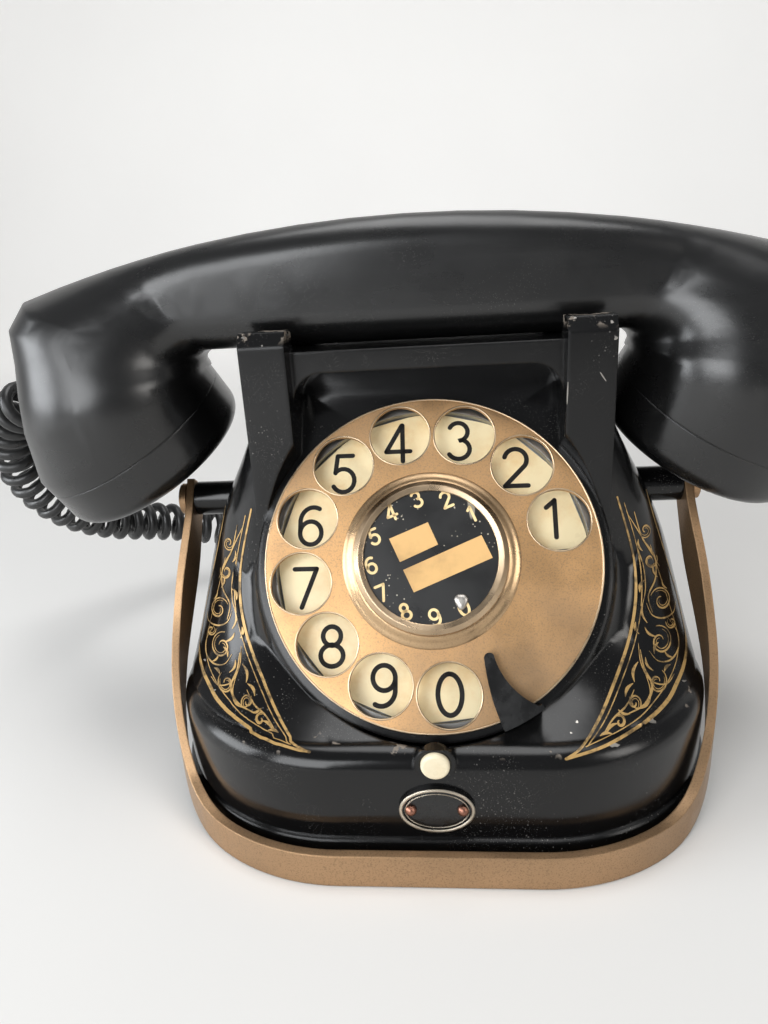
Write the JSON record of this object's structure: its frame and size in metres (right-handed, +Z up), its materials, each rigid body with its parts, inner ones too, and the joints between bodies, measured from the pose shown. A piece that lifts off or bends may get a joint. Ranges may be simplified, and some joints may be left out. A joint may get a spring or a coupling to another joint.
{
  "type": "rotary telephone",
  "caption": "Vintage desk telephone with a flared black metal case, rotary finger dial, cradle handset on a curly cord, front push button and a swinging carry strap.",
  "frame": {"origin": "On the table, under the middle of the telephone with its handset on and its strap down, the curly cord not counted.", "axes": "+X runs along the handset to the right seen from the dial, +Y to the back, +Z up."},
  "size_m": [0.2463, 0.1838, 0.1375],
  "materials": {
    "black_lacquer": "gloss",
    "black_moulding": "satin",
    "black_trim": "satin",
    "worn_brass": "satin",
    "bright_metal": "gloss",
    "copper_rivet": "satin",
    "cream_enamel": "satin",
    "cream_plastic": "satin",
    "black_rubber": "satin",
    "bright_steel": "brushed",
    "brass_works": "satin",
    "brown_board": "matte"
  },
  "bodies": {
    "base": {"case": "black_lacquer", "finger_stop": "black_trim", "badge_plate": "black_trim", "dial_cup": "black_trim", "strap_studs": "bright_metal", "badge_rivets": "copper_rivet", "number_plate": "cream_enamel", "rubber_feet": "black_rubber", "cord_grommet": "black_rubber", "line_grommet": "black_rubber", "handset_cord": "black_rubber", "base_plate": "bright_steel", "plate_screws": "bright_steel", "governor_drum": "bright_steel", "hook_bracket": "bright_steel", "ringer_frame": "bright_steel", "gong_posts": "bright_steel", "capacitor": "bright_steel", "mainspring_barrel": "bright_steel", "dial_bridge": "brass_works", "gong_left": "brass_works", "gong_right": "brass_works", "button_spring": "brass_works", "impulse_contacts": "brown_board", "hook_contacts": "brown_board", "terminal_block": "brown_board", "ringer_coils": "brown_board", "induction_coil": "brown_board"},
    "dial": {"finger_wheel": "worn_brass", "centre_hub": "brass_works", "centre_bezel": "bright_metal", "label_card": "black_trim", "dial_shaft": "bright_steel", "main_gear": "brass_works"},
    "governor": {"governor_spindle": "bright_steel", "governor_weights": "brass_works"},
    "handset": {"handset_body": "black_moulding", "transmitter_cap": "black_moulding", "receiver_cap": "black_moulding", "transmitter_capsule": "bright_steel", "receiver_capsule": "bright_steel", "handset_bush": "black_rubber"},
    "hook": {"cradle_plungers": "bright_metal", "plunger_bridge": "brown_board"},
    "strap": {"carry_strap": "worn_brass"},
    "button": {"button": "cream_plastic"},
    "ringer": {"armature": "bright_steel", "clapper": "brass_works"}
  },
  "joints": [
    {"name": "dial_turn", "type": "hinge", "parent": "base", "child": "dial", "pos_m": [0.004, -0.034, 0.062], "axis": [0, 0.8526, -0.5225], "range_deg": [0, 324], "stiffness_Nm_per_rad": 0.02},
    {"name": "governor_spin", "type": "hinge", "parent": "base", "child": "governor", "pos_m": [0.004, -0.02146, 0.08246], "axis": [0, 0.8526, -0.5225], "range_deg": [-1620, 0]},
    {"name": "handset_lift", "type": "slide", "parent": "base", "child": "handset", "axis": [0, 0, 1], "range_m": [0, 0.08], "deforming": ["handset_cord"]},
    {"name": "hook_rise", "type": "slide", "parent": "base", "child": "hook", "axis": [0, 0, 1], "range_m": [0, 0.006]},
    {"name": "strap_swing", "type": "hinge", "parent": "base", "child": "strap", "pos_m": [0.004, -0.001, 0.068], "axis": [-1, 0, 0], "range_deg": [0, 50]},
    {"name": "button_press", "type": "slide", "parent": "base", "child": "button", "axis": [0, 1, 0], "range_m": [0, 0.0025], "stiffness_N_per_m": 200, "deforming": ["button_spring"]},
    {"name": "clapper_rock", "type": "hinge", "parent": "base", "child": "ringer", "pos_m": [0.004, 0.01, 0.0272], "axis": [0, 1, 0], "range_deg": [-3, 3]}
  ],
  "couplings": [
    {"joint": "governor_spin", "follows": "dial_turn", "ratio": -5},
    {"joint": "hook_rise", "follows": "handset_lift", "ratio": 0.075}
  ]
}
